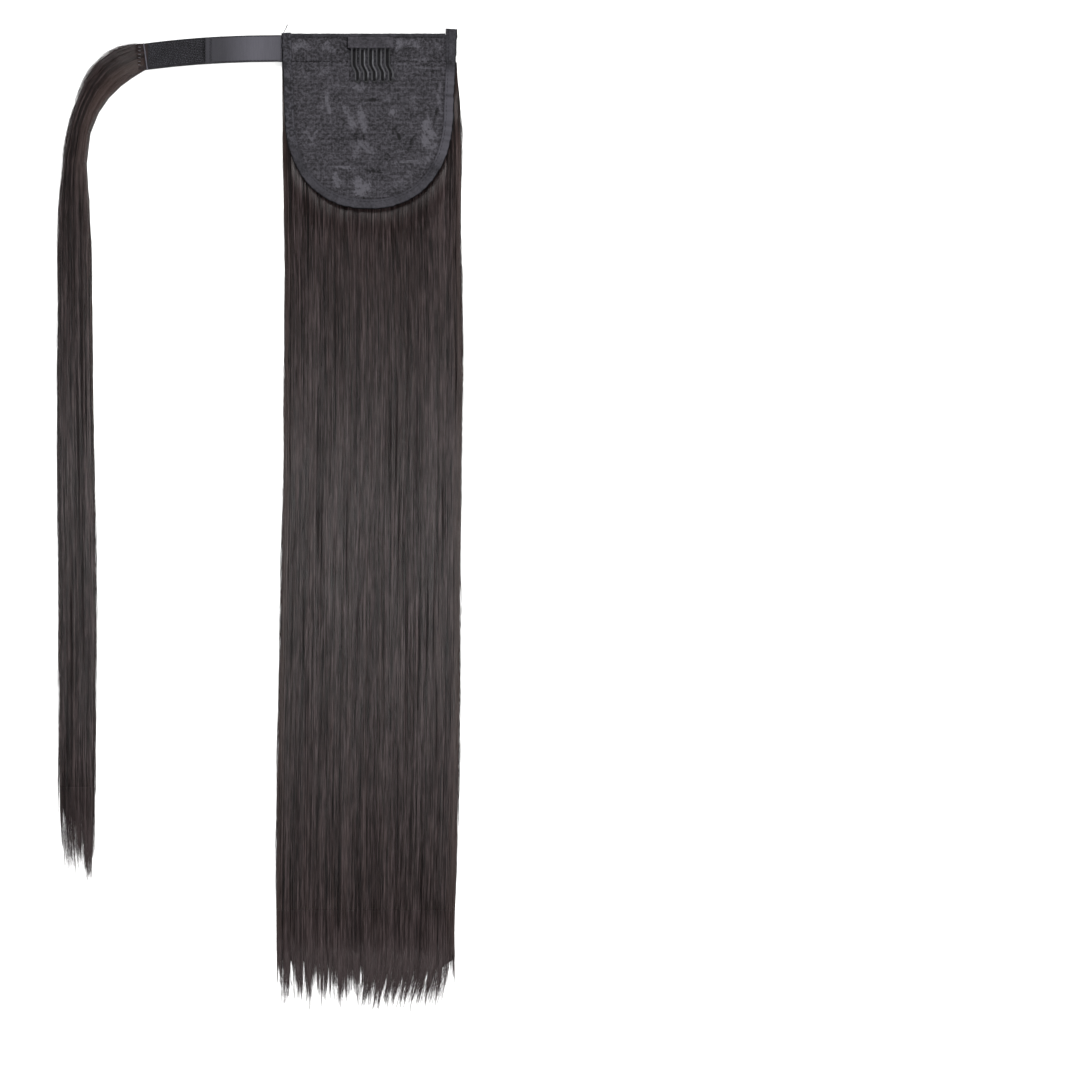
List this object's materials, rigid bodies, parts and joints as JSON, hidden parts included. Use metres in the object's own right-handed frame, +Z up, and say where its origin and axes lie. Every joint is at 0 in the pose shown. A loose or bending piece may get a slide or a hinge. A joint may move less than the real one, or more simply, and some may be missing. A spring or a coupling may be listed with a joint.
{
  "type": "wrap-around ponytail hairpiece",
  "caption": "Long straight hair fall on a band of loop tape, with a bound lace net cap, a wire comb and a hook strap that ends in a wrapping strand of hair.",
  "frame": {"origin": "middle of the whole footprint, on the floor that the hairpiece lies on", "axes": "+Y along the hair from its tips to the band's top edge, +X to the right seen from above, +Z up out of the inside face"},
  "size_m": [0.2932, 0.7084, 0.011],
  "materials": {
    "loop_pile": "brushed nylon loop pile, matt black",
    "hook_tape": "moulded nylon hook tape, dark grey black",
    "satin_ribbon": "woven satin ribbon, grey black with a soft sheen",
    "lace_net": "black lace net with a small floral figure",
    "binding_tape": "folded cotton binding tape, black",
    "weft_thread": "machine stitched weft track, black thread",
    "comb_wire": "black lacquered spring wire",
    "hair_fibre": "straight synthetic hair fibre, natural black brown, low sheen"
  },
  "bodies": {
    "root": {"loop_tape": "loop_pile", "hook_patch": "hook_tape", "strap_ribbon": "satin_ribbon", "strand_seam": "weft_thread", "weft_track": "weft_thread", "hair_fall": "hair_fibre", "wrap_strand": "hair_fibre", "net_cap": "lace_net", "cap_binding": "binding_tape", "end_fold": "binding_tape", "top_hem": "binding_tape", "comb": "comb_wire", "comb_sleeve": "satin_ribbon"}
  },
  "joints": []
}
